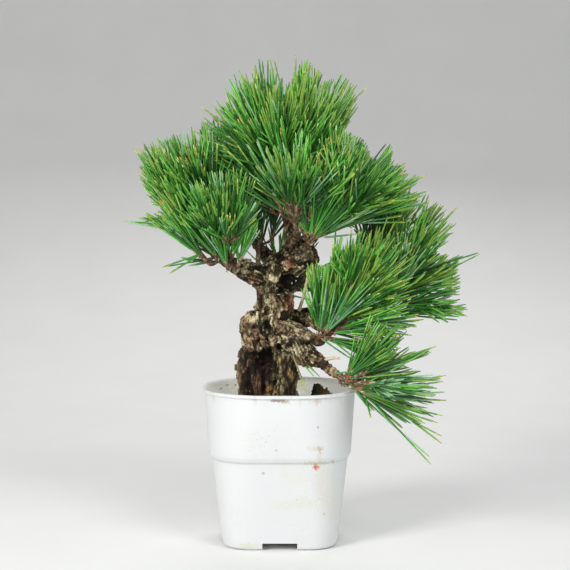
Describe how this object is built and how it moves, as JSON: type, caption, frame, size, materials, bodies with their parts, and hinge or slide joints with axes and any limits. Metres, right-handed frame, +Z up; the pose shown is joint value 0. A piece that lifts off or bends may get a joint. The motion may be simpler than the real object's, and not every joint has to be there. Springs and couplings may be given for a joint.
{
  "type": "japanese black pine bonsai",
  "caption": "Small black pine bonsai with a thick gnarled trunk, long bright needles in rounded pads, and a low side bough, in a square white plastic growing pot.",
  "frame": {"origin": "middle of the pot's flat underside, on the centre boss that stands level with its foot", "axes": "+Z up along the pot's centre line; +X to the right and -Y towards the viewer, as the tree's front is seen"},
  "size_m": [0.2554, 0.195, 0.3366],
  "materials": {
    "pot_plastic": "smooth white moulded plastic, satin, with faint soil stains",
    "potting_soil": "damp grains and bark crumbs, matte",
    "moss": "mossy earth, matte",
    "bark": "rough plated bark, matte, grey to red brown",
    "needles": "waxy needles, slightly glossy, green with yellow tips"
  },
  "bodies": {
    "root": {"pot": "pot_plastic", "soil": "potting_soil", "clod": "moss", "trunk": "bark", "bough_left": "bark", "bough_left_front": "bark", "bough_rear_left": "bark", "bough_cut_arm": "bark", "bough_crown_right": "bark", "bough_crown_front": "bark", "bough_rear_right": "bark", "bough_right": "bark", "bough_right_outer": "bark", "bough_right_rear": "bark", "bough_rear": "bark", "bough_low_right": "bark", "mass_crown_top": "needles", "mass_crown_right": "needles", "mass_crown_front": "needles", "mass_left_outer": "needles", "mass_left_front": "needles", "mass_rear_left": "needles", "mass_rear_right": "needles", "mass_right_front": "needles", "mass_right_outer": "needles", "mass_right_rear": "needles", "mass_rear": "needles", "mass_low_right": "needles"}
  },
  "joints": []
}
